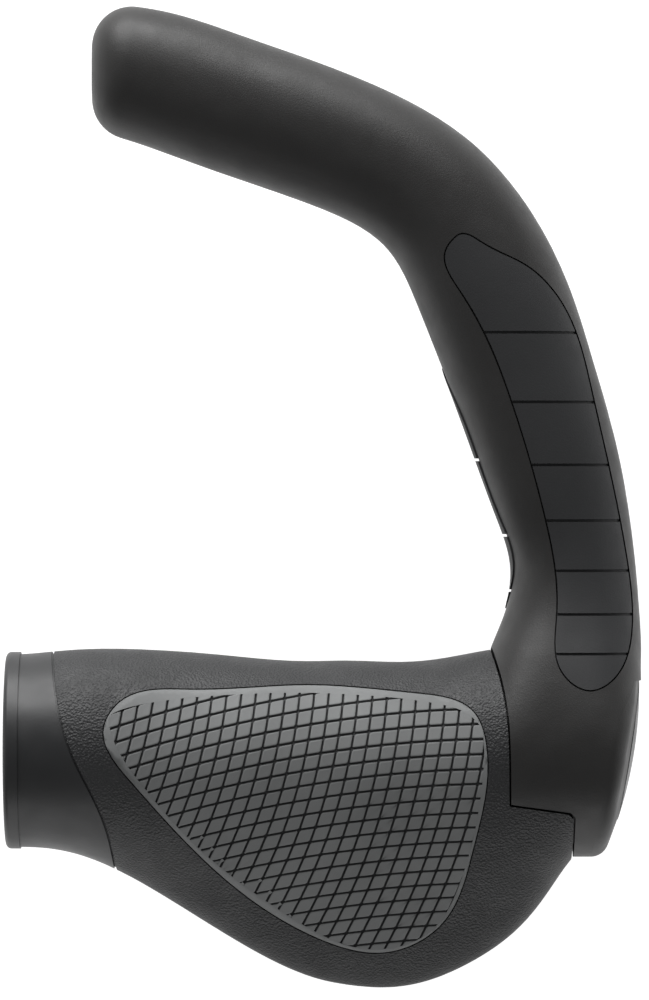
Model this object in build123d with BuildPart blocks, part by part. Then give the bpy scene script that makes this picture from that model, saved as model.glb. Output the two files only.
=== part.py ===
"""A winged handlebar grip with a long one-piece bar end, for the right-hand side.

The origin is on the handlebar's axis at the grip's inboard face, +X runs outboard along the
handlebar, +Y points forwards, the way the bar end reaches, and +Z is up. Sizes are in millimetres.
"""

from build123d import *

import os
from math import cos, hypot, radians, sin, sqrt, tan

# ---- handlebar, core and clamp -------------------------------------------------------------
BAR_DIAMETER = 22.2
BAR_CLEARANCE = 0.05  # radial, between the handlebar and the core
CORE_WALL = 1.85
CORE_LENGTH = 95.0
CORE_SLOTS = 4
CORE_SLOT_WIDTH = 2.0
CORE_SLOT_LENGTH = 9.0
CLAMP_CLEARANCE = 0.05  # radial, between the core and the clamp ring
CLAMP_WALL = 2.6
CLAMP_LENGTH = 10.4  # the core's length inside the clamp ring
CLAMP_SLIT = 1.6

# ---- grip ----------------------------------------------------------------------------------
WING_REACH = 39.7  # rear edge of the wing, from the handlebar's axis
WING_DROP = 4.2  # how far the wing's rear edge hangs below the axis
WING_COVER = 3.2  # rubber over the hard blade in the wing
BLADE_START = 26.0
BLADE_END_INSET = 19.0  # the blade ends this far short of the core
KEY_HOLE_DIAMETER = 8.0
KEY_HOLE_PITCH = 15.0
PAD_DEPTH = 1.5
PAD_GAP = 0.2
COLLAR_GROOVE = 0.4
COLLAR_GROOVE_DEPTH = 0.35
RIM_WIDTH = 2.4
RIM_COVER = 3.4  # rubber over the core at the rim

# ---- bar end -------------------------------------------------------------------------------
SKIN = 2.2  # rubber over the bar end's frame
FRAME_WALL = 2.6
ROOT_ROUNDING = 3.0
TIP_X = 14.3  # the tip's flat, from the grip's inboard face
TIP_ROUNDING = 6.6
CAVITY_START = 21.0  # where the hollow in the horn begins, in front of the clamp
INLAY_DEPTH = 1.3
INLAY_GAP = 0.25
INLAY_GROOVE = 0.45
INLAY_GROOVE_DEPTH = 0.4
INNER_INLAY_PROUD = 0.25

# ---- joint between the grip and the bar end ------------------------------------------------
JOINT_GAP = 0.3
FLANGE_CLEARANCE = 0.4
FLANGE_INSET = 0.8  # the flange behind the clamp ends this far short of the core
FLANGE_LOW_ANGLE = 23.0  # the flange's lower edge, in degrees below the rear
SKIN_LOW_ANGLE = 47.0  # the skin's rear lower edge inboard of the flange's end, likewise

# ---- clamp bolt, nut and washer ------------------------------------------------------------
BOLT_DIAMETER = 5.0
BOLT_LENGTH = 16.0
BOLT_HEAD_DIAMETER = 8.5
BOLT_HEAD_HEIGHT = 5.0
BOLT_KEY = 4.0  # hexagon socket, across flats
BOLT_KEY_DEPTH = 2.6
THREAD_CLEARANCE = 0.05
BOLT_HOLE_CLEARANCE = 0.3
BOLT_INSET = 4.0  # the bolt's axis, inboard of the core's end
WASHER_CLEARANCE = 0.45  # between the washer and the clamp ring
NUT_WIDTH = 8.0  # across flats
NUT_THICKNESS = 4.0
NUT_CLEARANCE = 0.05
WASHER_DIAMETER = 9.0
WASHER_THICKNESS = 1.0
EAR_WIDTH = 12.0
EAR_REAR = -5.5
EAR_FRONT = 8.5
EAR_COVER = 4.4  # metal below the bolt's axis
EAR_POCKET = 0.6  # room round the ears where they come through the skin
EAR_ROUNDING = 4.0

# ---- end cap -------------------------------------------------------------------------------
CAP_RADIUS = 11.6
CAP_THICKNESS = 3.4
CAP_PROUD = 0.1
CAP_STEM_RADIUS = 9.8
CAP_STEM_WALL = 1.8
CAP_GAP = 0.1
CORE_END_GAP = 0.6  # between the core's end and the wall that closes the clamp
DOME_RADIUS = 69.0  # the outboard end is part of a large ball
DOME_CENTRE_Y = 10.5
DOME_FRONT = 11.8  # the ball ends here, in a small step in front of the cap
END_THICKNESS = 10.3  # from the core's end to the outboard end's furthest point

# ---- values that follow --------------------------------------------------------------------
bore_radius = BAR_DIAMETER / 2 + BAR_CLEARANCE
core_radius = bore_radius + CORE_WALL
ring_bore_radius = core_radius + CLAMP_CLEARANCE
ring_radius = ring_bore_radius + CLAMP_WALL
root_radius = ring_radius + SKIN
flange_radius = ring_radius + FLANGE_CLEARANCE
clamp_start = CORE_LENGTH - CLAMP_LENGTH
flange_end = CORE_LENGTH - FLANGE_INSET
dome_centre_x = CORE_LENGTH + END_THICKNESS - DOME_RADIUS
bore_end = CORE_LENGTH + CORE_END_GAP
bolt_radius = BOLT_DIAMETER / 2
bolt_x = CORE_LENGTH - BOLT_INSET
bolt_drop = sqrt(ring_radius**2 - EAR_REAR**2) + WASHER_CLEARANCE + WASHER_DIAMETER / 2
ear_top = 1 - core_radius
ear_bottom = -bolt_drop - EAR_COVER
washer_rear = EAR_REAR - WASHER_THICKNESS
head_rear = washer_rear - BOLT_HEAD_HEIGHT
beyond = 140.0  # larger than anything here, for cutting tools

# The outlines below are drawn for a core of this length and a wing of this reach. On another
# grip the collar and the clamp keep their lengths and what is between them stretches.
DRAWN_CORE_LENGTH = 95.0
DRAWN_WING_REACH = 39.7
DRAWN_STRETCH = (20.0, 80.0)


def along(x):
    """A place along the handlebar, from its place on the grip that the outlines are drawn for."""
    start, end = DRAWN_STRETCH
    share = min(max((x - start) / (end - start), 0), 1)
    return x + share * (CORE_LENGTH - DRAWN_CORE_LENGTH)


def behind(y):
    """A place behind the handlebar's axis, from its place on the wing that was drawn."""
    return y * WING_REACH / DRAWN_WING_REACH if y < 0 else y


# each row: place along the handlebar, rubber over the core in front and on top, and how much
# of the wing there is, from a round sleeve (0) to the whole wing (1)
GRIP_STATIONS = [
    (0.0, 3.1, 3.1, 0.0),
    (5.0, 3.2, 3.2, 0.0),
    (12.0, 3.8, 3.7, 0.03),
    (20.0, 3.9, 3.9, 0.17),
    (30.0, 3.4, 3.9, 0.43),
    (42.0, 2.3, 3.7, 0.75),
    (53.0, 1.9, 3.5, 0.95),
    (62.0, 1.8, 3.5, 1.0),
    (71.0, 2.1, 3.8, 0.94),
    (79.0, 3.5, 4.3, 0.77),
    (86.0, 4.4, 4.6, 0.52),
    (91.0, 4.7, 4.8, 0.22),
    (94.2, 4.85, 4.85, 0.01),
]

# the root behind the handlebar's axis is round: its cross-sections, in degrees up from the rear
ROOT_TURNS = [9, 28, 50, 70, 90]
ROOT_MIDDLE = 91.75
ROOT_WIDTH = 35.5  # wide enough for the seam and the outboard end to be cut from it
ROOT_SQUARENESS = 4.5

# each row: the centre's x and y, width in plan, how far the top is below the root's radius, and
# the cross-section's squareness
NECK_STATIONS = [
    (91.9, 8.0, 28.6, 0.95, 3.8),
    (93.15, 16.7, 25.1, 3.55, 2.9),
    (94.2, 22.5, 22.6, 5.45, 2.5),
]

# each row: the centre's x and y, width in plan and height
HORN_STATIONS = [
    (94.6, 29.0, 20.8, 22.6),
    (92.4, 41.7, 21.9, 22.8),
    (86.2, 61.8, 24.0, 23.6),
    (79.7, 78.9, 24.4, 23.6),
    (70.8, 92.2, 22.6, 22.6),
    (55.6, 101.1, 22.5, 22.2),
    (35.6, 108.3, 22.8, 22.2),
    (20.0, 113.2, 22.0, 21.8),
    (8.0, 117.0, 21.4, 21.4),
]
HORN_SQUARENESS = 2.2  # a little fuller than an ellipse

# the palm pad's outline, seen from above
PAD_OUTLINE = [
    (21.0, -4.7),
    (34.0, -19.0),
    (52.0, -31.4),
    (63.5, -33.7),
    (72.6, -28.8),
    (77.7, -16.0),
    (79.9, 0.0),
    (77.6, 7.0),
    (68.0, 10.0),
    (50.0, 11.3),
    (31.0, 10.6),
    (19.0, 8.4),
    (16.5, 4.0),
]

# the parting line between the collar and the grip's body, seen from above
COLLAR_LINE = [(7.2, 24.0), (7.8, 16.6), (11.3, 0.0), (16.4, -11.0), (18.1, -19.0), (18.4, -26.0)]

# the seam between the grip and the bar end, seen from above: a curve across the top, then
# outboard along the flange's upper edge and round its end
SEAM_CURVE = [(78.6, 24.0), (80.9, 16.3), (82.2, 11.6), (83.0, 7.0), (83.4, 2.0), (83.6, -8.6)]
FLANGE_EDGE = [(93.4, -10.0), (94.2, -10.8), (94.2, -30.0)]
low_seam_x = along(80.6)  # the same seam under the handlebar's axis
GRIP_FRONT_LIMIT = 20.0  # in front of this, everything is the bar end's

# the top inlay's outline, seen from above
TOP_INLAY_OUTLINE = [
    (74.6, 85.3),
    (72.7, 82.2),
    (75.5, 75.8),
    (83.6, 58.4),
    (89.4, 38.4),
    (91.2, 23.0),
    (92.0, 13.2),
    (96.6, 10.2),
    (101.2, 12.6),
    (104.0, 20.0),
    (103.2, 32.5),
    (97.4, 60.0),
    (92.6, 74.2),
    (86.6, 80.5),
    (79.0, 84.4),
]
TOP_GROOVES = [69.4, 57.9, 47.5, 38.3, 30.0, 22.8, 16.3]

# the inner inlay's outline, seen from the grip's side: place along Y, then height
INNER_INLAY_OUTLINE = [
    (63.5, -1.5),
    (58.0, 2.6),
    (42.0, 3.4),
    (27.5, 2.6),
    (23.4, -1.8),
    (27.5, -6.8),
    (42.0, -8.2),
    (58.0, -6.8),
]
INNER_GROOVES = [48.4, 35.8, 26.6]


# ---- shared forms --------------------------------------------------------------------------
def moved_inwards(points, distance):
    """The points of a closed outline, each moved inwards square to its neighbours' chord."""
    moved = []
    for i, (u, v) in enumerate(points):
        u_before, v_before = points[i - 1]
        u_after, v_after = points[(i + 1) % len(points)]
        du = u_after - u_before
        dv = v_after - v_before
        length = hypot(du, dv)
        moved.append((u - dv / length * distance, v + du / length * distance))
    return moved


def grip_outline(front, top, share):
    """One cross-section of the grip, between a round sleeve (0) and the whole wing (1)."""
    below = 0.95 * top
    full_wing = [
        (front, 0),
        (front * cos(radians(30)), top * sin(radians(30))),
        (front * cos(radians(60)), top * sin(radians(60))),
        (0, top),
        (-0.22 * WING_REACH, 0.90 * top),
        (-0.48 * WING_REACH, 0.63 * top),
        (-0.76 * WING_REACH, 0.26 * top),
        (-WING_REACH, -WING_DROP),
        (-0.80 * WING_REACH, -WING_DROP - 3.9),
        (-0.55 * WING_REACH, -WING_DROP - 3.6),
        (-0.30 * WING_REACH, -0.72 * top),
        (0, -below),
        (front * cos(radians(60)), -below * sin(radians(60))),
        (front * cos(radians(30)), -below * sin(radians(30))),
    ]
    angles = [0, 30, 60, 90, 112, 134, 157, 180, 203, 226, 248, 270, 300, 330]
    points = []
    for angle, (y_wing, z_wing) in zip(angles, full_wing):
        turn = radians(angle)
        reach = front if cos(turn) > 0 else top
        y_round = reach * cos(turn)
        z_round = top * sin(turn)
        points.append((y_round + share * (y_wing - y_round), z_round + share * (z_wing - z_round)))
    return points


def grip_form(inset=0.0):
    """The grip's whole outer form as one solid, or the same form a little inside it."""
    with BuildPart() as form:
        for x, front, top, share in GRIP_STATIONS:
            outline = grip_outline(core_radius + front, core_radius + top, share)
            section = moved_inwards(outline, inset)
            with BuildSketch(Plane(origin=(along(x), 0, 0), x_dir=(0, 1, 0), z_dir=(1, 0, 0))):
                with BuildLine():
                    Spline(*section, periodic=True)
                make_face()
        loft()
    return form.part


def superellipse(width, height, squareness):
    """Points of a closed outline between an ellipse (2) and a rounded box (over 4)."""
    points = []
    steps = 16
    for i in range(steps):
        turn = radians(360 * i / steps)
        c = cos(turn)
        s = sin(turn)
        u = abs(c) ** (2 / squareness) * width / 2
        v = abs(s) ** (2 / squareness) * height / 2
        points.append((u if c >= 0 else -u, v if s >= 0 else -v))
    return points


def bar_end_sections():
    """The bar end's cross-sections, from behind the handlebar to past the tip.

    Each is a place in plan, a width, a height, a squareness and a heading. Behind the axis the
    heights are left to follow the root's radius.
    """
    stations = [(along(x), y) for x, y, *_ in NECK_STATIONS + HORN_STATIONS]
    with BuildLine(mode=Mode.PRIVATE) as centre:
        Spline(*stations, tangents=[(0.15, 1), (-1, 0.32)])
    path = centre.edge()
    sections = []
    for x, y, width, drop, squareness in NECK_STATIONS:
        height = 2 * (root_radius - drop)
        sections.append((along(x), y, width, height, squareness, Vector(0, 1, 0)))
    for x, y, width, height in HORN_STATIONS:
        heading = path.tangent_at(Vector(along(x), y, 0))
        sections.append((along(x), y, width, height, HORN_SQUARENESS, heading))
    return sections


def horn_form(inset=0.0):
    """Root and horn as one solid from behind the handlebar to past the tip, or the form inside."""
    sections = []
    for turn in ROOT_TURNS:
        y = -(root_radius - inset) * cos(radians(turn))
        height = 2 * (root_radius - inset) * sin(radians(turn)) + 2 * inset
        sections.append((along(ROOT_MIDDLE), y, ROOT_WIDTH, height, ROOT_SQUARENESS, Vector(0, 1, 0)))
    sections += bar_end_sections()
    with BuildPart() as form:
        for x, y, width, height, squareness, heading in sections:
            across = (-heading.Y, heading.X, 0)
            with BuildSketch(Plane(origin=(x, y, 0), x_dir=across, z_dir=heading)):
                with BuildLine():
                    points = superellipse(width - 2 * inset, height - 2 * inset, squareness)
                    Spline(*points, periodic=True)
                make_face()
        loft()
    return form.part


def bar_end_form(inset=0.0):
    """Horn and root with the tip cut off and rounded, and the outboard end part of a large ball."""
    with BuildPart() as outside:
        with BuildSketch(Plane.XZ.offset(-DOME_FRONT)):
            with Locations((flange_end + beyond / 2, 0)):
                Rectangle(beyond, beyond)
        extrude(amount=beyond)
        with Locations((dome_centre_x, DOME_CENTRE_Y, 0)):
            Sphere(DOME_RADIUS - inset, mode=Mode.SUBTRACT)
    with BuildPart() as form:
        add(horn_form(inset))
        with BuildSketch(Plane.YZ.offset(TIP_X + inset)):
            Rectangle(2 * beyond, 2 * beyond)
        extrude(amount=-beyond, mode=Mode.SUBTRACT)
        tip = form.faces().sort_by(Axis.X)[0]
        fillet(tip.edges(), TIP_ROUNDING - inset)
        add(outside.part, mode=Mode.SUBTRACT)
        if inset < SKIN:
            dome = form.faces().filter_by(GeomType.SPHERE)[0]
            rim = dome.edges().filter_by(lambda edge: edge.center().Y < DOME_FRONT - 0.1)
            fillet(rim, ROOT_ROUNDING - inset)
    return form.part


def collar_side(offset=0.0):
    """Everything inboard of the collar's parting line, or of a line beside it."""
    with BuildPart() as side:
        with BuildSketch(Plane.XY.offset(-beyond / 2)):
            with BuildLine():
                edge = Spline(*[(along(x) + offset, y) for x, y in COLLAR_LINE])
                Polyline(edge @ 1, (-beyond, -26), (-beyond, 24), edge @ 0)
            make_face()
        extrude(amount=beyond)
    return side.part


def bar_end_space(margin):
    """The room that the bar end has for itself, outboard of the seam and in front of the grip."""
    with BuildPart() as space:
        with BuildSketch(Plane.XY):
            with BuildLine():
                curve = Spline(*[(along(x) + margin, y + margin) for x, y in SEAM_CURVE])
                edge = [(along(x) + margin, y + margin) for x, y in FLANGE_EDGE]
                front_x = along(SEAM_CURVE[0][0]) + margin
                Polyline(curve @ 1, *edge, (beyond, -30), (beyond, 60), (front_x, 60), curve @ 0)
            make_face()
        extrude(amount=beyond / 2)
        with BuildSketch(Plane.YZ.offset(low_seam_x + margin)):
            with Locations((0, -beyond / 4)):
                Rectangle(beyond, beyond / 2)
        extrude(amount=beyond)
        with BuildSketch(Plane.YZ.offset(low_seam_x + margin)):
            with BuildLine():
                slope = tan(radians(FLANGE_LOW_ANGLE))
                corner = margin / sin(radians(FLANGE_LOW_ANGLE))
                Polyline((corner, 0), (-60, 0), (-60, -(60 + corner) * slope), (corner, 0))
            make_face()
        extrude(amount=flange_end - low_seam_x, mode=Mode.SUBTRACT)
        with BuildSketch(Plane.XZ.offset(-GRIP_FRONT_LIMIT)):
            Rectangle(3 * beyond, beyond)
        extrude(amount=-beyond)
    return space.part


def outline_prism(points, plane, height, gap=0.0):
    """A smooth closed outline, drawn anticlockwise on a plane and less a gap, carried up."""
    with BuildPart() as prism:
        with BuildSketch(plane):
            with BuildLine():
                edge_points = moved_inwards(points, gap)
                closed = Spline(*edge_points, periodic=True, mode=Mode.PRIVATE)
                add(closed.edge().trim(0, 0.5))
                add(closed.edge().trim(0.5, 1))
            make_face()
        extrude(amount=height)
    return prism.part


def cap_recess(radius, outer_ball):
    """The round space for the end cap's head, between two balls about the same centre."""
    with BuildPart() as recess:
        with BuildSketch(Plane.YZ.offset(CORE_LENGTH - 5)):
            Circle(radius)
        extrude(amount=30)
        with Locations((dome_centre_x, DOME_CENTRE_Y, 0)):
            Sphere(outer_ball, mode=Mode.INTERSECT)
            Sphere(DOME_RADIUS - CAP_THICKNESS, mode=Mode.SUBTRACT)
    return recess.part


def horn_cavity():
    """The hollow inside the horn's frame, from in front of the clamp and out through the tip."""
    with BuildPart() as cavity:
        add(horn_form(SKIN + FRAME_WALL))
        with BuildSketch(Plane.XZ.offset(-CAVITY_START)):
            Rectangle(2 * beyond, beyond)
        extrude(amount=beyond, mode=Mode.SUBTRACT)
        with BuildSketch(Plane.YZ.offset(TIP_X + SKIN)):
            Rectangle(2 * beyond, beyond)
        extrude(amount=-beyond, mode=Mode.SUBTRACT)
    return cavity.part


def inlay_grooves(plane, places):
    """Cross grooves as deep as an inlay's, cut along the plane's normal and first direction."""
    with BuildPart() as grooves:
        with BuildSketch(plane.offset(-beyond)):
            with Locations(*places):
                if plane == Plane.XY:
                    Rectangle(2 * beyond, INLAY_GROOVE)
                else:
                    Rectangle(INLAY_GROOVE, 2 * beyond)
        extrude(amount=2 * beyond)
        add(bar_end_form(INLAY_GROOVE_DEPTH), mode=Mode.SUBTRACT)
    return grooves.part


def hexagon(across_flats):
    """A regular hexagon's outline as a sketch, by its width across flats."""
    return RegularPolygon(across_flats / 2, 6, major_radius=False)


# ---- grip ----------------------------------------------------------------------------------
outer_grip = grip_form()
pad_outline = [(along(x), behind(y)) for x, y in PAD_OUTLINE]

blade_length = CORE_LENGTH - BLADE_END_INSET - BLADE_START
blade_middle = BLADE_START + blade_length / 2

with BuildPart() as wing_blade:
    add(grip_form(WING_COVER))
    with BuildSketch(Plane.XY.offset(-beyond / 2)):
        with Locations((blade_middle, -beyond / 2)):
            RectangleRounded(blade_length, beyond, 8)
    extrude(amount=beyond, mode=Mode.INTERSECT)
    with BuildSketch(Plane.YZ):
        Circle(core_radius)
    extrude(amount=beyond, mode=Mode.SUBTRACT)
    with BuildSketch(Plane.XY.offset(-beyond / 2)):
        with Locations((blade_middle + 8, behind(-22))):
            with GridLocations(KEY_HOLE_PITCH, 1, 2, 1):
                Circle(KEY_HOLE_DIAMETER / 2)
    extrude(amount=beyond, mode=Mode.SUBTRACT)

with BuildPart() as grip_core:
    with BuildSketch(Plane.YZ):
        Circle(core_radius)
        Circle(bore_radius, mode=Mode.SUBTRACT)
    extrude(amount=CORE_LENGTH)
    with BuildSketch(Plane.YZ.offset(CORE_LENGTH - CORE_SLOT_LENGTH)):
        with PolarLocations(core_radius, CORE_SLOTS, start_angle=45):
            Rectangle(4 * CORE_WALL, CORE_SLOT_WIDTH)
    extrude(amount=CORE_SLOT_LENGTH, mode=Mode.SUBTRACT)
    add(wing_blade.part)

with BuildPart() as core_space:
    add(wing_blade.part)
    with BuildSketch(Plane.YZ):
        Circle(core_radius)
    extrude(amount=beyond)

with BuildPart() as pad_space:
    add(outline_prism(pad_outline, Plane.XY.offset(-3), beyond))
    add(outer_grip, mode=Mode.INTERSECT)
    add(grip_form(PAD_DEPTH), mode=Mode.SUBTRACT)

with BuildPart() as palm_pad:
    add(outline_prism(pad_outline, Plane.XY.offset(-3), beyond, PAD_GAP))
    add(outer_grip, mode=Mode.INTERSECT)
    add(grip_form(PAD_DEPTH), mode=Mode.SUBTRACT)

with BuildPart() as collar_groove:
    add(collar_side(COLLAR_GROOVE / 2))
    add(collar_side(-COLLAR_GROOVE / 2), mode=Mode.SUBTRACT)
    add(grip_form(COLLAR_GROOVE_DEPTH), mode=Mode.SUBTRACT)

with BuildPart() as inner_collar:
    add(outer_grip)
    add(collar_side(), mode=Mode.INTERSECT)
    with BuildSketch(Plane.YZ):
        Circle(core_radius + RIM_COVER)
    extrude(amount=RIM_WIDTH)
    rim_edges = inner_collar.edges().filter_by(GeomType.CIRCLE).sort_by(Axis.X)[0]
    fillet(rim_edges, 0.9)
    add(core_space.part, mode=Mode.SUBTRACT)
    add(collar_groove.part, mode=Mode.SUBTRACT)

with BuildPart() as grip_body:
    add(outer_grip)
    add(collar_side(), mode=Mode.SUBTRACT)
    add(collar_groove.part, mode=Mode.SUBTRACT)
    add(bar_end_space(-JOINT_GAP / 2), mode=Mode.SUBTRACT)
    with BuildSketch(Plane.YZ.offset(clamp_start - JOINT_GAP)):
        Circle(flange_radius)
    extrude(amount=beyond, mode=Mode.SUBTRACT)
    add(core_space.part, mode=Mode.SUBTRACT)
    add(pad_space.part, mode=Mode.SUBTRACT)

# ---- bar end -------------------------------------------------------------------------------
outer_bar_end = bar_end_form()
top_inlay_outline = [(along(x), y) for x, y in TOP_INLAY_OUTLINE]

with BuildPart() as frame_blank:
    add(bar_end_form(SKIN))
    with BuildSketch(Plane.XY.offset(-beyond / 2)):
        with Locations((clamp_start - beyond / 2, CAVITY_START - 2 - beyond / 2)):
            Rectangle(beyond, beyond)
    extrude(amount=beyond, mode=Mode.SUBTRACT)
    with BuildSketch(Plane.XZ.offset(-EAR_FRONT)) as ear_profile:
        with Locations((bolt_x, (ear_top + ear_bottom) / 2)):
            Rectangle(EAR_WIDTH, ear_top - ear_bottom)
        fillet(ear_profile.vertices().group_by(Axis.Y)[0], EAR_ROUNDING)
    extrude(amount=EAR_FRONT - EAR_REAR)

with BuildPart() as horn_frame:
    add(frame_blank.part)
    with BuildSketch(Plane.YZ.offset(clamp_start - 1)):
        Circle(ring_bore_radius)
    extrude(amount=bore_end - clamp_start + 1, mode=Mode.SUBTRACT)
    with BuildSketch(Plane.YZ.offset(bore_end)):
        Circle(CAP_STEM_RADIUS + CAP_GAP)
    extrude(amount=beyond, mode=Mode.SUBTRACT)
    add(cap_recess(CAP_RADIUS + CAP_GAP, 2 * DOME_RADIUS), mode=Mode.SUBTRACT)
    # the slit that lets the clamp close, below the handlebar
    with BuildSketch(Plane.YZ.offset(clamp_start - 1)):
        with Locations((0, -beyond / 2)):
            Rectangle(CLAMP_SLIT, beyond)
    extrude(amount=beyond, mode=Mode.SUBTRACT)
    # the bolt's hole and the nut's pocket
    with BuildSketch(Plane.XZ.offset(-EAR_FRONT)):
        with Locations((bolt_x, -bolt_drop)):
            Circle(bolt_radius + BOLT_HOLE_CLEARANCE)
    extrude(amount=EAR_FRONT - EAR_REAR, mode=Mode.SUBTRACT)
    with BuildSketch(Plane.XZ.offset(-EAR_FRONT)):
        with Locations((bolt_x, -bolt_drop)):
            hexagon(NUT_WIDTH + 2 * NUT_CLEARANCE)
    extrude(amount=NUT_THICKNESS, mode=Mode.SUBTRACT)
    # the hollow along the horn, open at the tip
    add(horn_cavity(), mode=Mode.SUBTRACT)

with BuildPart() as top_inlay_space:
    add(outline_prism(top_inlay_outline, Plane.XY, beyond))
    add(outer_bar_end, mode=Mode.INTERSECT)
    add(bar_end_form(INLAY_DEPTH), mode=Mode.SUBTRACT)

with BuildPart() as top_inlay:
    add(outline_prism(top_inlay_outline, Plane.XY, beyond, INLAY_GAP))
    add(outer_bar_end, mode=Mode.INTERSECT)
    add(bar_end_form(INLAY_DEPTH), mode=Mode.SUBTRACT)
    add(inlay_grooves(Plane.XY, [(0, y) for y in TOP_GROOVES]), mode=Mode.SUBTRACT)

with BuildPart() as inner_inlay_space:
    add(outline_prism(INNER_INLAY_OUTLINE, Plane.YZ, bolt_x))
    add(outer_bar_end, mode=Mode.INTERSECT)
    add(bar_end_form(INLAY_DEPTH), mode=Mode.SUBTRACT)

with BuildPart() as inner_inlay:
    add(outline_prism(INNER_INLAY_OUTLINE, Plane.YZ, bolt_x, INLAY_GAP))
    add(bar_end_form(-INNER_INLAY_PROUD), mode=Mode.INTERSECT)
    add(bar_end_form(INLAY_DEPTH), mode=Mode.SUBTRACT)
    add(inlay_grooves(Plane.YZ, [(y, 0) for y in INNER_GROOVES]), mode=Mode.SUBTRACT)

with BuildPart() as horn_skin:
    add(outer_bar_end)
    add(bar_end_space(JOINT_GAP / 2), mode=Mode.INTERSECT)
    add(frame_blank.part, mode=Mode.SUBTRACT)
    # round the core, inboard of the clamp
    with BuildSketch(Plane.YZ):
        Circle(core_radius + FLANGE_CLEARANCE)
    extrude(amount=clamp_start, mode=Mode.SUBTRACT)
    # nothing behind the rear lower edge until past the flange
    with BuildSketch(Plane.YZ):
        with BuildLine():
            slope = tan(radians(SKIN_LOW_ANGLE))
            Polyline((0, 0), (-60, 0), (-60, -60 * slope), (0, 0))
        make_face()
    extrude(amount=flange_end + JOINT_GAP, mode=Mode.SUBTRACT)
    # the ears and the bolt's head come through the skin
    with BuildSketch(Plane.XY.offset(ear_top)):
        with Locations((bolt_x, (head_rear + EAR_FRONT) / 2)):
            Rectangle(EAR_WIDTH + 2 * EAR_POCKET, EAR_FRONT - head_rear + 2 * EAR_POCKET)
    extrude(amount=-beyond / 2, mode=Mode.SUBTRACT)
    add(cap_recess(CAP_RADIUS + CAP_GAP, 2 * DOME_RADIUS), mode=Mode.SUBTRACT)
    add(top_inlay_space.part, mode=Mode.SUBTRACT)
    add(inner_inlay_space.part, mode=Mode.SUBTRACT)

with BuildPart() as end_cap:
    add(cap_recess(CAP_RADIUS, DOME_RADIUS + CAP_PROUD))
    with BuildSketch(Plane.YZ.offset(bore_end + CAP_GAP)):
        Circle(CAP_STEM_RADIUS)
        Circle(CAP_STEM_RADIUS - CAP_STEM_WALL, mode=Mode.SUBTRACT)
    extrude(amount=2 * CAP_THICKNESS)
    with Locations((dome_centre_x, DOME_CENTRE_Y, 0)):
        Sphere(DOME_RADIUS + CAP_PROUD, mode=Mode.INTERSECT)

# ---- clamp bolt, washer and nut ------------------------------------------------------------
bolt_axis = Plane.XZ.offset(-washer_rear)

with BuildPart() as clamp_bolt:
    with BuildSketch(bolt_axis):
        with Locations((bolt_x, -bolt_drop)):
            Circle(BOLT_HEAD_DIAMETER / 2)
    extrude(amount=BOLT_HEAD_HEIGHT)
    chamfer(clamp_bolt.faces().sort_by(Axis.Y)[0].edges(), 0.4)
    with BuildSketch(bolt_axis.offset(BOLT_HEAD_HEIGHT)):
        with Locations((bolt_x, -bolt_drop)):
            hexagon(BOLT_KEY)
    extrude(amount=-BOLT_KEY_DEPTH, mode=Mode.SUBTRACT)
    with BuildSketch(bolt_axis):
        with Locations((bolt_x, -bolt_drop)):
            Circle(bolt_radius)
    extrude(amount=-BOLT_LENGTH)
    chamfer(clamp_bolt.faces().sort_by(Axis.Y)[-1].edges(), 0.5)

with BuildPart() as clamp_washer:
    with BuildSketch(bolt_axis):
        with Locations((bolt_x, -bolt_drop)):
            Circle(WASHER_DIAMETER / 2)
            Circle(bolt_radius + BOLT_HOLE_CLEARANCE, mode=Mode.SUBTRACT)
    extrude(amount=-WASHER_THICKNESS)

with BuildPart() as clamp_nut:
    with BuildSketch(Plane.XZ.offset(-EAR_FRONT)):
        with Locations((bolt_x, -bolt_drop)):
            hexagon(NUT_WIDTH)
            Circle(bolt_radius + THREAD_CLEARANCE, mode=Mode.SUBTRACT)
    extrude(amount=NUT_THICKNESS)

# ---- write every piece ---------------------------------------------------------------------
pieces = {
    "grip_core": grip_core,
    "grip_body": grip_body,
    "inner_collar": inner_collar,
    "palm_pad": palm_pad,
    "horn_frame": horn_frame,
    "horn_skin": horn_skin,
    "top_inlay": top_inlay,
    "inner_inlay": inner_inlay,
    "end_cap": end_cap,
    "clamp_bolt": clamp_bolt,
    "clamp_washer": clamp_washer,
    "clamp_nut": clamp_nut,
}
os.makedirs("parts", exist_ok=True)
for name, piece in pieces.items():
    piece.part.label = name
    export_step(piece.part, f"parts/{name}.step")
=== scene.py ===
"""A winged handlebar grip with a long bar end: its rubbers, its tiled palm pad and the studio."""

import math

import bmesh
import bpy
import numpy as np
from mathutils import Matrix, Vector
from mathutils.bvhtree import BVHTree


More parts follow.
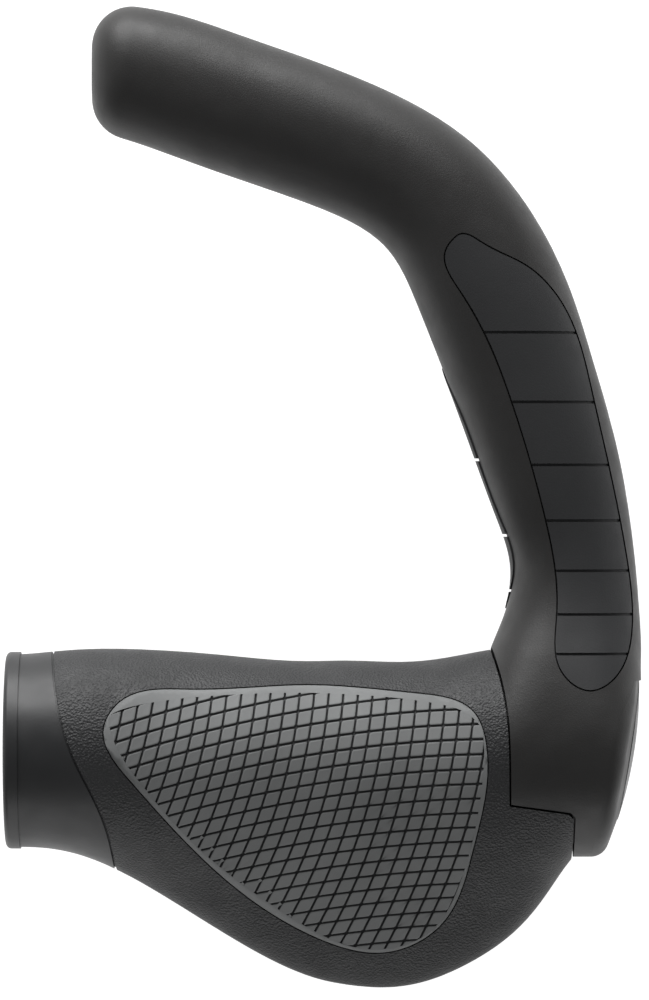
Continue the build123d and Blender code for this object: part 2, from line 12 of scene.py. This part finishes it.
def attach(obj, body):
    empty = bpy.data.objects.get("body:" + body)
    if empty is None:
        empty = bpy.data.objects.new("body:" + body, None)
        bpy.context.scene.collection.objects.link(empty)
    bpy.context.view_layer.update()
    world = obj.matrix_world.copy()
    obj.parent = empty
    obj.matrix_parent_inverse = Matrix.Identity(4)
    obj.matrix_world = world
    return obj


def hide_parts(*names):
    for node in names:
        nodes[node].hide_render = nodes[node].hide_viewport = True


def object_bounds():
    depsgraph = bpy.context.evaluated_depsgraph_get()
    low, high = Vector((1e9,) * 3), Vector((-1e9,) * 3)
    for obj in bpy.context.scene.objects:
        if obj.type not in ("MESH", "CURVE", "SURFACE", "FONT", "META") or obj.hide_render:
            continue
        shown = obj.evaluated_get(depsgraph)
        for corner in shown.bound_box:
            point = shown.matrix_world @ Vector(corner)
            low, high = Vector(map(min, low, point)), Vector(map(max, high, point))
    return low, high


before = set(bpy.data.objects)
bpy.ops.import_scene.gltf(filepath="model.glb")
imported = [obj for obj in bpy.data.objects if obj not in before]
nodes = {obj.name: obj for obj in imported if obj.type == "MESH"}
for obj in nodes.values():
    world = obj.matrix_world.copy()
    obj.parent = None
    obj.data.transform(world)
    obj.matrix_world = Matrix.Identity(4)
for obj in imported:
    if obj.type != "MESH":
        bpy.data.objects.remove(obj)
cad_low, cad_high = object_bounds()
MM = 0.001
UP = Vector((0, 0, 1))


# ---- materials -----------------------------------------------------------------------------
def new_material(name, color, roughness, specular=0.5):
    """A named Principled material, its node tree and its shader node."""
    material = bpy.data.materials.new(name)
    material.use_nodes = True
    tree = material.node_tree
    shader = tree.nodes["Principled BSDF"]
    shader.inputs["Base Color"].default_value = (*color, 1)
    shader.inputs["Roughness"].default_value = roughness
    shader.inputs["Specular IOR Level"].default_value = specular
    return material, tree, shader


def noise(tree, scale, detail=3.0, roughness=0.5):
    """A noise texture on Object coordinates, its scale in waves per metre."""
    place = tree.nodes.new("ShaderNodeTexCoord")
    texture = tree.nodes.new("ShaderNodeTexNoise")
    texture.inputs["Scale"].default_value = scale
    texture.inputs["Detail"].default_value = detail
    texture.inputs["Roughness"].default_value = roughness
    tree.links.new(place.outputs["Object"], texture.inputs["Vector"])
    return texture


def cells(tree, scale, smoothness=0.4):
    """Smooth rounded cells on Object coordinates, for a moulded leather grain."""
    place = tree.nodes.new("ShaderNodeTexCoord")
    texture = tree.nodes.new("ShaderNodeTexVoronoi")
    texture.feature = "SMOOTH_F1"
    texture.inputs["Scale"].default_value = scale
    texture.inputs["Smoothness"].default_value = smoothness
    tree.links.new(place.outputs["Object"], texture.inputs["Vector"])
    return texture


def ramp(tree, source, low, high, start=0.3, end=0.7):
    """A value or colour that goes from low to high as the source goes from start to end."""
    node = tree.nodes.new("ShaderNodeMapRange")
    node.inputs["From Min"].default_value = start
    node.inputs["From Max"].default_value = end
    node.inputs["To Min"].default_value = low
    node.inputs["To Max"].default_value = high
    tree.links.new(source, node.inputs["Value"])
    return node.outputs["Result"]


def tint(tree, shader, source, dark, light, start=0.3, end=0.7):
    """Lets the base colour wander between two near shades."""
    node = tree.nodes.new("ShaderNodeMix")
    node.data_type = "RGBA"
    node.inputs["A"].default_value = (*dark, 1)
    node.inputs["B"].default_value = (*light, 1)
    tree.links.new(ramp(tree, source, 0, 1, start, end), node.inputs["Factor"])
    tree.links.new(node.outputs["Result"], shader.inputs["Base Color"])


def bump(tree, shader, heights, distance, strength=1.0):
    """Adds a fine relief, its height in metres."""
    node = tree.nodes.new("ShaderNodeBump")
    node.inputs["Distance"].default_value = distance
    node.inputs["Strength"].default_value = strength
    tree.links.new(heights, node.inputs["Height"])
    tree.links.new(node.outputs["Normal"], shader.inputs["Normal"])


def shade(color, factor):
    """A lighter or darker shade of a colour."""
    return tuple(c * factor for c in color)


def rubber(name, color, roughness, grain, depth, leather=False, specular=0.42):
    """Moulded rubber: a fine grain or a pebbled leather grain, and a slightly uneven sheen."""
    material, tree, shader = new_material(name, color, roughness, specular)
    mottle = noise(tree, 60, 4)
    tint(tree, shader, mottle.outputs["Fac"], shade(color, 0.88), shade(color, 1.12))
    sheen = noise(tree, 220, 3)
    tree.links.new(ramp(tree, sheen.outputs["Fac"], roughness - 0.05, roughness + 0.05),
                   shader.inputs["Roughness"])
    if leather:
        bump(tree, shader, cells(tree, grain).outputs["Distance"], depth)
    else:
        bump(tree, shader, noise(tree, grain, 2, 0.6).outputs["Fac"], depth)
    return material


BODY_COLOR = (0.0135, 0.0140, 0.0150)
PAD_COLOR = (0.158, 0.162, 0.162)
# a darker copy of the pad's grey for the grooves: painted shade, since the real grooves are the
# same rubber in shadow
PAINTED_GROOVE_SHADE_COLOR = (0.050, 0.051, 0.052)
HORN_COLOR = (0.0135, 0.0130, 0.0127)
INLAY_COLOR = (0.0145, 0.0150, 0.0162)

body_rubber = rubber("leather_grained_rubber", BODY_COLOR, 0.55, 2600, 0.00014, leather=True)
collar_rubber = rubber("smooth_collar_rubber", BODY_COLOR, 0.45, 2500, 0.00001)
pad_rubber = rubber("grey_pad_rubber", PAD_COLOR, 0.65, 3000, 0.00002, specular=0.2)
# the groove walls and floors get this darker pad rubber as painted shade
painted_groove_shade = rubber("painted_shade_in_the_grooves", PAINTED_GROOVE_SHADE_COLOR, 0.8, 3000, 0.00002, specular=0.2)
horn_rubber = rubber("fine_horn_rubber", HORN_COLOR, 0.5, 4000, 0.00003)
inlay_rubber = rubber("inlay_rubber", INLAY_COLOR, 0.62, 3500, 0.00002)
cap_plastic = rubber("moulded_cap_plastic", INLAY_COLOR, 0.4, 5000, 0.00001)
core_plastic = rubber("nylon_core", (0.03, 0.03, 0.031), 0.4, 3000, 0.00001)
frame_composite = rubber("glass_filled_frame", (0.03, 0.03, 0.032), 0.45, 2000, 0.00002)
steel, steel_tree, steel_shader = new_material("zinc_plated_steel", (0.55, 0.55, 0.54), 0.35)
steel_shader.inputs["Metallic"].default_value = 1.0
bump(steel_tree, steel_shader, noise(steel_tree, 2500, 2).outputs["Fac"], 0.00001)

NODE_MATERIALS = {
    "grip_core": core_plastic,
    "grip_body": body_rubber,
    "inner_collar": collar_rubber,
    "palm_pad": pad_rubber,
    "horn_frame": frame_composite,
    "horn_skin": horn_rubber,
    "top_inlay": inlay_rubber,
    "inner_inlay": inlay_rubber,
    "end_cap": cap_plastic,
    "clamp_nut": steel,
    "clamp_washer": steel,
    "clamp_bolt": steel,
}
for name, material in NODE_MATERIALS.items():
    nodes[name].data.materials.clear()
    nodes[name].data.materials.append(material)


# ---- mesh tools ----------------------------------------------------------------------------
MERGE_DISTANCE = 0.002 * MM


def only(piece):
    """Makes one object the only selected one, and the active one."""
    if bpy.context.object and bpy.context.object.mode != "OBJECT":
        bpy.ops.object.mode_set(mode="OBJECT")
    bpy.ops.object.select_all(action="DESELECT")
    piece.select_set(True)
    bpy.context.view_layer.objects.active = piece


def copy_of(node, name):
    """A merged copy of a CAD node's mesh, to be worked on."""
    piece = bpy.data.objects.new(name, nodes[node].data.copy())
    piece.data.name = name
    bpy.context.scene.collection.objects.link(piece)
    only(piece)
    bpy.ops.object.mode_set(mode="EDIT")
    bpy.ops.mesh.select_all(action="SELECT")
    bpy.ops.mesh.remove_doubles(threshold=MERGE_DISTANCE)
    bpy.ops.object.mode_set(mode="OBJECT")
    return piece


def cut(piece, tool, operation):
    """Applies a boolean cut with a closed tool."""
    only(piece)
    modifier = piece.modifiers.new("cut", "BOOLEAN")
    modifier.operation = operation
    modifier.solver = "MANIFOLD"
    modifier.object = tool
    bpy.ops.object.modifier_apply(modifier=modifier.name)


def dress(piece, *materials):
    """Gives a piece its materials, and the first one to every face."""
    piece.data.materials.clear()
    for material in materials:
        piece.data.materials.append(material)


def take_normals(piece, node):
    """Shades a cut copy of a CAD node as smoothly as the node itself."""
    only(piece)
    modifier = piece.modifiers.new("normals", "DATA_TRANSFER")
    modifier.object = nodes[node]
    modifier.use_loop_data = True
    modifier.data_types_loops = {"CUSTOM_NORMAL"}
    modifier.loop_mapping = "POLYINTERP_NEAREST"
    bpy.ops.object.modifier_apply(modifier=modifier.name)


def finish_piece(piece, body, replaced):
    """Makes a finished piece ride on its body and stand for a CAD node."""
    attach(piece, body)
    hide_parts(replaced)


def closed_curve(points, steps=16):
    """A smooth closed line through points, as many short steps between each two."""
    line = []
    count = len(points)
    for i in range(count):
        a, b, c, d = (Vector(points[(i + n) % count]) for n in (-1, 0, 1, 2))
        for step in range(steps):
            t = step / steps
            line.append(
                0.5 * (2 * b + (c - a) * t + (2 * a - 5 * b + 4 * c - d) * t * t
                       + (3 * b - a - 3 * c + d) * t * t * t)
            )
    return line


def prism(name, line, low, high):
    """A closed outline in millimetres, seen from above, carried up from low to high."""
    bpy.ops.object.select_all(action="DESELECT")
    bpy.ops.mesh.primitive_circle_add(vertices=len(line), radius=1, fill_type="NGON")
    piece = bpy.context.object
    piece.name = name
    for vertex, place in zip(piece.data.vertices, line):
        vertex.co = (place[0] * MM, place[1] * MM, low * MM)
    bpy.ops.object.mode_set(mode="EDIT")
    bpy.ops.mesh.select_all(action="SELECT")
    bpy.ops.mesh.extrude_region_move(TRANSFORM_OT_translate={"value": (0, 0, (high - low) * MM)})
    bpy.ops.mesh.select_all(action="SELECT")
    bpy.ops.mesh.normals_make_consistent(inside=False)
    bpy.ops.object.mode_set(mode="OBJECT")
    return piece


def discard(piece):
    """Takes away a tool that has done its work."""
    bpy.data.objects.remove(piece, do_unlink=True)


# ---- palm pad ------------------------------------------------------------------------------
# the pad's outline with the width of its smooth rim at each point, in millimetres
PAD_OUTLINE = [
    (21.0, -4.7, 1.25), (34.0, -19.0, 1.1), (52.0, -31.4, 0.95), (63.5, -33.7, 0.8),
    (72.6, -28.8, 0.65), (77.7, -16.0, 0.6), (79.9, 0.0, 0.65), (77.6, 7.0, 1.0),
    (68.0, 10.0, 1.3), (50.0, 11.3, 1.4), (31.0, 10.6, 1.45), (19.0, 8.4, 1.35),
    (16.5, 4.0, 1.2),
]
# the cutting prism of the pad's inner outline goes right through the grip
PRISM_LOW = -15
PRISM_HIGH = 35

# grooves of one family run along the pad (the rows), and those of the other across it
TILE_ROWS = range(-9, 22)
TILE_COLUMNS = range(-6, 34)
FIRST_ROW_Y = 6.95
ROW_PITCH = 2.43
ROW_PITCH_CHANGE = 0.004
FIRST_COLUMN_X = 77.45
COLUMN_PITCH = 2.418

# each row droops away from its outboard end, and each column leans inboard away from its front
ROW_START_X = 72.92
ROW_DROOP = 0.05
ROW_BOW = 0.002488
ROW_LONGEST = 62
COLUMN_START_Y = 5.17
COLUMN_LEAN = 0.11017
COLUMN_BOW = 0.005396
COLUMN_LONGEST = 42
INBOARD_SPREAD = 0.52
INBOARD_SPREAD_LENGTH = 43.5
INBOARD_SPREAD_POWER = 1.5
CROSSING_STEPS = 14

# tiles and grooves, in millimetres
TILE_BASE = 0.8
TILE_MARGIN = 7.5
SMALLEST_TILE = 1.0
GROOVE_DEPTH = 0.5
GROOVE_HALF_WIDTH = 0.19
TILE_CORNER = 0.28
TILE_CROWN = 0.08
TILE_EDGE = 0.15
TILE_TOP_EDGE = 0.04
TILE_SMOOTH_ANGLE = 32

# the smooth surface through the pad's top, fitted round its middle
SURFACE_MIDDLE = Vector((48 * MM, -8 * MM, 0))
SURFACE_SIZE = 40 * MM
SURFACE_ORDER = 4
UPPER_FACING = 0.6
SURFACE_TOLERANCE = 0.6 * MM
RAY_HEIGHT = 0.1
TOP_FACING = 0.05


def moved_inwards(rows):
    """The points of an anticlockwise outline, each moved inwards by its own width."""
    moved = []
    for i, (x, y, width) in enumerate(rows):
        x_before, y_before, _ = rows[i - 1]
        x_after, y_after, _ = rows[(i + 1) % len(rows)]
        along = Vector((x_after - x_before, y_after - y_before)).normalized()
        moved.append((x - along.y * width, y + along.x * width))
    return moved


def tile_crossing(column, row):
    """Where a groove across the pad meets one along it, both a little bowed."""
    row_y = FIRST_ROW_Y - ROW_PITCH * row + ROW_PITCH_CHANGE * row**2
    column_x = FIRST_COLUMN_X - COLUMN_PITCH * column
    inboard = max(FIRST_COLUMN_X - column_x, 0) / INBOARD_SPREAD_LENGTH
    spread = 1 + INBOARD_SPREAD * inboard**INBOARD_SPREAD_POWER
    x, y = column_x, row_y
    for _ in range(CROSSING_STEPS):
        back = min(COLUMN_START_Y - y, COLUMN_LONGEST)
        x = column_x - (COLUMN_BOW * back**2 + COLUMN_LEAN * back) * spread
        side = min(ROW_START_X - x, ROW_LONGEST)
        y = row_y - (ROW_BOW * side**2 + ROW_DROOP * side)
    return x, y


def pad_surface():
    """A function that gives the height of the pad's smooth surface, also a little outside it."""
    pad = nodes["palm_pad"].data
    upper = [v.co for v in pad.vertices if v.normal.z > UPPER_FACING]
    trees = []
    for name in ("palm_pad", "grip_body"):
        mesh = nodes[name].data
        faces = [p.vertices for p in mesh.polygons]
        trees.append(BVHTree.FromPolygons([v.co for v in mesh.vertices], faces))
    powers = [(i, j) for i in range(SURFACE_ORDER + 1) for j in range(SURFACE_ORDER + 1 - i)]

    def terms(x, y):
        u = (x - SURFACE_MIDDLE.x) / SURFACE_SIZE
        v = (y - SURFACE_MIDDLE.y) / SURFACE_SIZE
        return np.array([u**i * v**j for i, j in powers])

    places = np.array([terms(co.x, co.y) for co in upper])
    heights = np.array([co.z for co in upper])
    weights = np.linalg.lstsq(places, heights, rcond=None)[0]

    def height(x, y):
        smooth = float(terms(x, y) @ weights)
        for tree in trees:
            hit = tree.ray_cast(Vector((x, y, RAY_HEIGHT)), -UP)[0]
            if hit and abs(hit.z - smooth) < SURFACE_TOLERANCE:
                return hit.z
        return smooth

    return height


def inside(line, x, y):
    """Whether a place is inside a closed line."""
    found = False
    for i, (x_here, y_here) in enumerate(line):
        x_last, y_last = line[i - 1]
        if (y_here > y) != (y_last > y):
            if x < (x_last - x_here) * (y - y_here) / (y_last - y_here) + x_here:
                found = not found
    return found


def tile_grid(outer_line):
    """A slab with one face for each tile, on the floor of the grooves and trimmed to a line."""
    height_at = pad_surface()
    rows = len(TILE_ROWS)
    columns = len(TILE_COLUMNS)
    bpy.ops.object.select_all(action="DESELECT")
    bpy.ops.mesh.primitive_grid_add(x_subdivisions=columns - 1, y_subdivisions=rows - 1, size=1)
    field = bpy.context.object
    field.name = "palm_pad_tiles"
    dress(field, pad_rubber, painted_groove_shade)
    for vertex in field.data.vertices:
        column = TILE_COLUMNS[-1] - round((vertex.co.x + 0.5) * (columns - 1))
        row = TILE_ROWS[-1] - round((vertex.co.y + 0.5) * (rows - 1))
        x, y = tile_crossing(column, row)
        z = height_at(x * MM, y * MM)
        vertex.co = (x * MM, y * MM, z - GROOVE_DEPTH * MM)

    bpy.ops.object.mode_set(mode="EDIT")
    bpy.ops.mesh.select_all(action="DESELECT")
    slab = bmesh.from_edit_mesh(field.data)
    for vertex in slab.verts:
        vertex.select = not inside(outer_line, vertex.co.x / MM, vertex.co.y / MM)
    bmesh.update_edit_mesh(field.data)
    bpy.ops.mesh.delete(type="VERT")
    bpy.ops.mesh.select_all(action="SELECT")
    bpy.ops.mesh.extrude_region_move(TRANSFORM_OT_translate={"value": (0, 0, -TILE_BASE * MM)})
    bpy.ops.mesh.select_all(action="SELECT")
    bpy.ops.mesh.normals_make_consistent(inside=False)
    bpy.ops.object.mode_set(mode="OBJECT")
    return field


def raise_tiles(field):
    """Cuts each tile's corners off and raises it between the grooves, with a soft edge."""
    only(field)
    bpy.ops.object.mode_set(mode="EDIT")
    bpy.ops.mesh.select_all(action="DESELECT")
    tiles = bmesh.from_edit_mesh(field.data)
    for vertex in tiles.verts:
        vertex.select = all(face.normal.z > TOP_FACING for face in vertex.link_faces)
    tiles.select_flush_mode()
    bmesh.update_edit_mesh(field.data)
    bpy.ops.mesh.bevel(
        offset=TILE_CORNER * MM, segments=1, affect="VERTICES", clamp_overlap=False
    )

    tiles = bmesh.from_edit_mesh(field.data)
    bpy.ops.mesh.select_all(action="DESELECT")
    bpy.ops.mesh.select_mode(type="FACE")
    for face in tiles.faces:
        face.select = face.normal.z > TOP_FACING and face.calc_area() > SMALLEST_TILE * MM**2
    bmesh.update_edit_mesh(field.data)
    bpy.ops.mesh.inset(
        thickness=GROOVE_HALF_WIDTH * MM,
        depth=(GROOVE_DEPTH - TILE_CROWN) * MM,
        use_individual=True,
    )
    # the groove walls and floors take the second material, the darker rubber that is painted
    # shade
    tiles = bmesh.from_edit_mesh(field.data)
    for face in tiles.faces:
        face.material_index = 0 if face.select else 1
    bmesh.update_edit_mesh(field.data)
    bpy.ops.mesh.inset(thickness=TILE_EDGE * MM, depth=TILE_CROWN * MM, use_individual=True)
    bpy.ops.mesh.inset(thickness=TILE_TOP_EDGE * MM, depth=0, use_individual=True)
    bpy.ops.mesh.poke()
    bpy.ops.object.mode_set(mode="OBJECT")


def make_palm_pad():
    """A smooth rim round a field of small raised tiles, between two families of grooves."""
    outer_line = closed_curve(moved_inwards([(x, y, -TILE_MARGIN) for x, y, _ in PAD_OUTLINE]))
    field = tile_grid(outer_line)
    raise_tiles(field)

    inner_line = closed_curve(moved_inwards(PAD_OUTLINE))
    inner = prism("pad_inner_prism", inner_line, PRISM_LOW, PRISM_HIGH)
    cut(field, inner, "INTERSECT")
    only(field)
    bpy.ops.object.shade_smooth_by_angle(angle=math.radians(TILE_SMOOTH_ANGLE))

    rim = copy_of("palm_pad", "palm_pad_tiled")
    dress(rim, pad_rubber, painted_groove_shade)
    cut(rim, inner, "DIFFERENCE")
    take_normals(rim, "palm_pad")
    discard(inner)

    only(rim)
    field.select_set(True)
    bpy.ops.object.join()
    finish_piece(rim, "grip", "palm_pad")


make_palm_pad()


# ---- studio --------------------------------------------------------------------------------
# the camera looks straight down on a field of view this high, from far enough for no distortion
VIEW_CENTRE = (0.0530, 0.0417)
VIEW_HEIGHT = 0.1667
CAMERA_HEIGHT = 1.2
SENSOR = 36.0
FLOOR_SIZE = 4
FLOOR_GAP = 0.004
FLOOR_COLOR = (0.4, 0.4, 0.4)
FLOOR_GLOW = 0.92
WORLD_STRENGTH = 0.24

camera_data = bpy.data.cameras.new("camera")
camera = bpy.data.objects.new("camera", camera_data)
bpy.context.scene.collection.objects.link(camera)
camera.location = (*VIEW_CENTRE, CAMERA_HEIGHT)
camera_data.sensor_fit = "VERTICAL"
camera_data.sensor_height = SENSOR
camera_data.lens = SENSOR * CAMERA_HEIGHT / VIEW_HEIGHT
bpy.context.scene.camera = camera

bpy.ops.object.select_all(action="DESELECT")
bpy.ops.mesh.primitive_plane_add(size=FLOOR_SIZE, location=(0, 0, cad_low[2] - FLOOR_GAP))
floor = bpy.context.object
floor.name = "floor"
floor_material, _, floor_shader = new_material("pale_floor", FLOOR_COLOR, 0.9, 0.1)
floor_shader.inputs["Emission Color"].default_value = (1, 1, 1, 1)
floor_shader.inputs["Emission Strength"].default_value = FLOOR_GLOW
floor.data.materials.append(floor_material)


def softbox(name, place, size, power):
    """A large square area light aimed at the middle of the grip."""
    light_data = bpy.data.lights.new(name, "AREA")
    light_data.shape = "SQUARE"
    light_data.size = size
    light_data.energy = power
    light = bpy.data.objects.new(name, light_data)
    bpy.context.scene.collection.objects.link(light)
    light.location = place
    light.rotation_euler = (GRIP_MIDDLE - Vector(place)).to_track_quat("-Z", "Y").to_euler()


GRIP_MIDDLE = Vector((0.053, 0.04, 0.0))
softbox("front_softbox", (-0.10, 0.95, 0.22), 0.9, 22.0)
softbox("rear_softbox", (0.05, -0.85, 0.18), 0.6, 2.0)
softbox("left_softbox", (-0.85, 0.1, 0.3), 0.6, 0.8)
softbox("right_softbox", (0.95, 0.1, 0.25), 0.6, 1.2)

world = bpy.data.worlds.new("studio_white")
bpy.context.scene.world = world
world.use_nodes = True
background = world.node_tree.nodes["Background"]
background.inputs["Color"].default_value = (1, 1, 1, 1)
background.inputs["Strength"].default_value = WORLD_STRENGTH
bpy.context.scene.view_settings.view_transform = "Standard"
